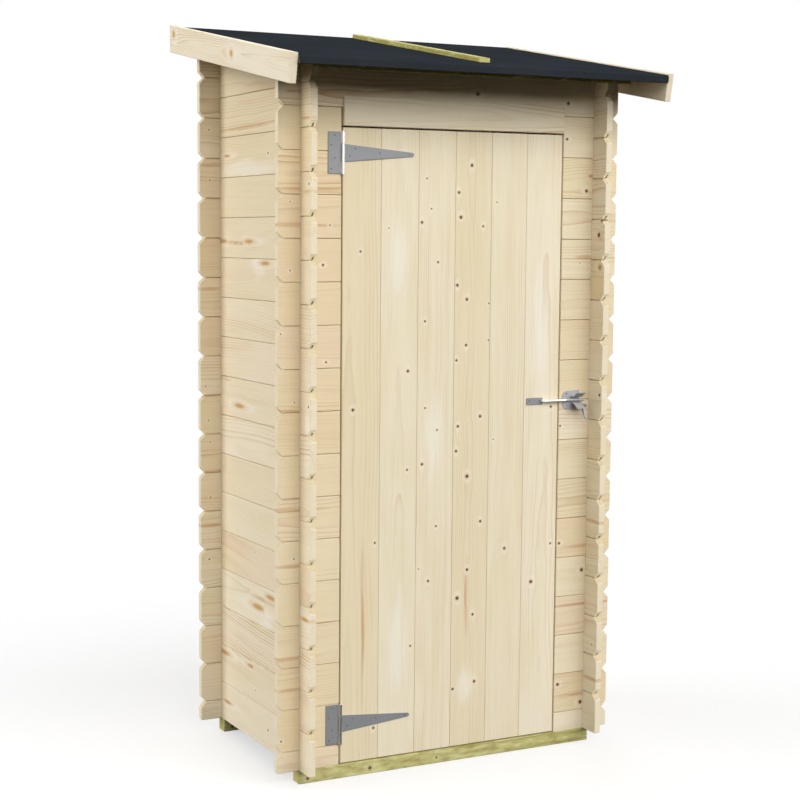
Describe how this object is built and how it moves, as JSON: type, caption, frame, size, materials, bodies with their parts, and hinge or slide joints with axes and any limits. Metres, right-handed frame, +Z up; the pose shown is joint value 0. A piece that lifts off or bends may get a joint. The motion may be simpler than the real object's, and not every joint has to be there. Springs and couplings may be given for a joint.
{
  "type": "pent garden shed",
  "caption": "Small timber garden shed of crossed log boards with a pent felt roof that falls to the front, bearers under its walls, a ledged door on T-hinges and a gravity latch.",
  "frame": {"origin": "on the ground at the middle of the roof's plan", "axes": "+Z up, +X to the right of someone facing the door, +Y towards the back wall"},
  "size_m": [1.16, 0.843, 2.0776],
  "materials": {
    "spruce": "planed, unfinished",
    "treated_pine": "pressure treated, sawn",
    "roofing_felt": "mineral bitumen felt",
    "galvanised_steel": "galvanised"
  },
  "bodies": {
    "shed": {"front_bearer": "treated_pine", "rear_bearer": "treated_pine", "floor_boards": "spruce", "left_wall": "spruce", "right_wall": "spruce", "back_wall": "spruce", "front_wall_left": "spruce", "front_wall_right": "spruce", "front_wall_top": "spruce", "left_door_post": "spruce", "right_door_post": "spruce", "door_header": "spruce", "roof_deck": "spruce", "roof_felt": "roofing_felt", "left_barge_board": "spruce", "right_barge_board": "spruce", "eaves_batten": "treated_pine", "roof_lath": "treated_pine", "top_hinge_plate": "galvanised_steel", "bottom_hinge_plate": "galvanised_steel", "top_hinge_pin": "galvanised_steel", "bottom_hinge_pin": "galvanised_steel", "latch_keeper": "galvanised_steel", "latch_pivot": "galvanised_steel"},
    "door": {"door_boards": "spruce", "door_ledge_top": "spruce", "door_ledge_middle": "spruce", "door_ledge_bottom": "spruce", "door_brace_upper": "spruce", "door_brace_lower": "spruce", "top_hinge_strap": "galvanised_steel", "bottom_hinge_strap": "galvanised_steel", "latch_striker": "galvanised_steel"},
    "latch": {"latch_lever": "galvanised_steel"}
  },
  "joints": [
    {"name": "door_swing", "type": "hinge", "parent": "shed", "child": "door", "pos_m": [-0.34575, -0.23425, 0], "axis": [0, 0, -1], "range_deg": [0, 140]},
    {"name": "latch_lift", "type": "hinge", "parent": "shed", "child": "latch", "pos_m": [0.4155, -0.2435, 0.989], "axis": [-1, 0, 0], "range_deg": [0, 50]}
  ]
}
